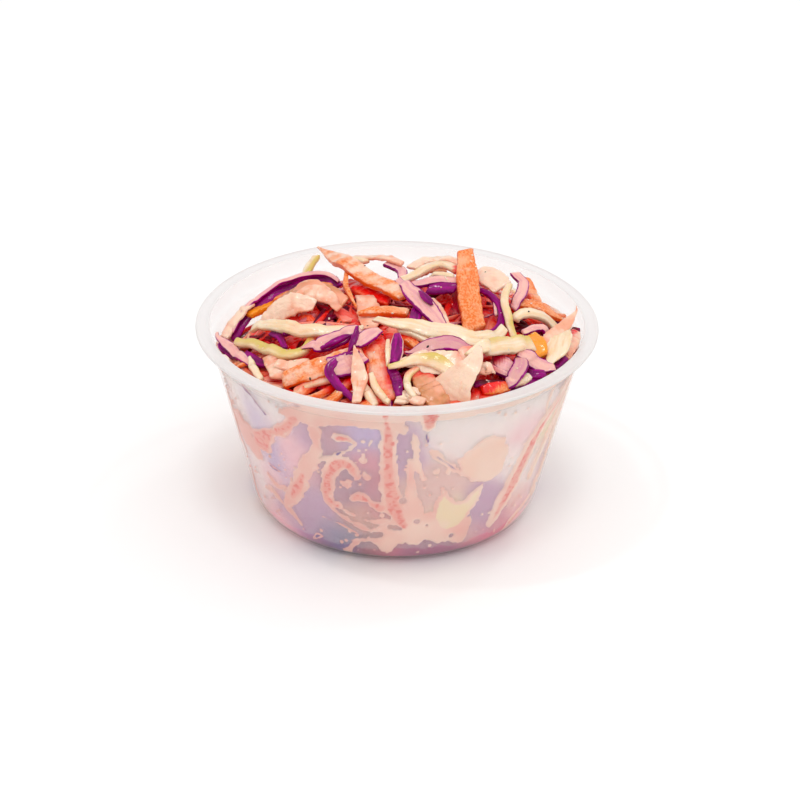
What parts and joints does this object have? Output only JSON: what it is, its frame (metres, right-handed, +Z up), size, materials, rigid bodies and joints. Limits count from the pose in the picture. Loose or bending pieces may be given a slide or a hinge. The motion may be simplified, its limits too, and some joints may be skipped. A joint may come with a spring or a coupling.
{
  "type": "portion cup of coleslaw",
  "caption": "Small frosted plastic cup, round and tapering under a flat rim flange, heaped above the rim with shredded coleslaw in dressing.",
  "frame": {"origin": "centre of the cup's flat base, on the surface it stands on", "axes": "+Z up, out of the cup's mouth, along the axis the cup is turned about; -Y towards the side the slaw lies highest against, +X to the right seen from there"},
  "size_m": [0.0748, 0.0748, 0.0443],
  "materials": {
    "cup_plastic": "frosted translucent polypropylene, moulded, satin",
    "slaw": "shredded carrot, red cabbage and white cabbage, wet with a peach-cream dressing"
  },
  "bodies": {
    "root": {"cup": "cup_plastic", "coleslaw": "slaw"}
  },
  "joints": []
}
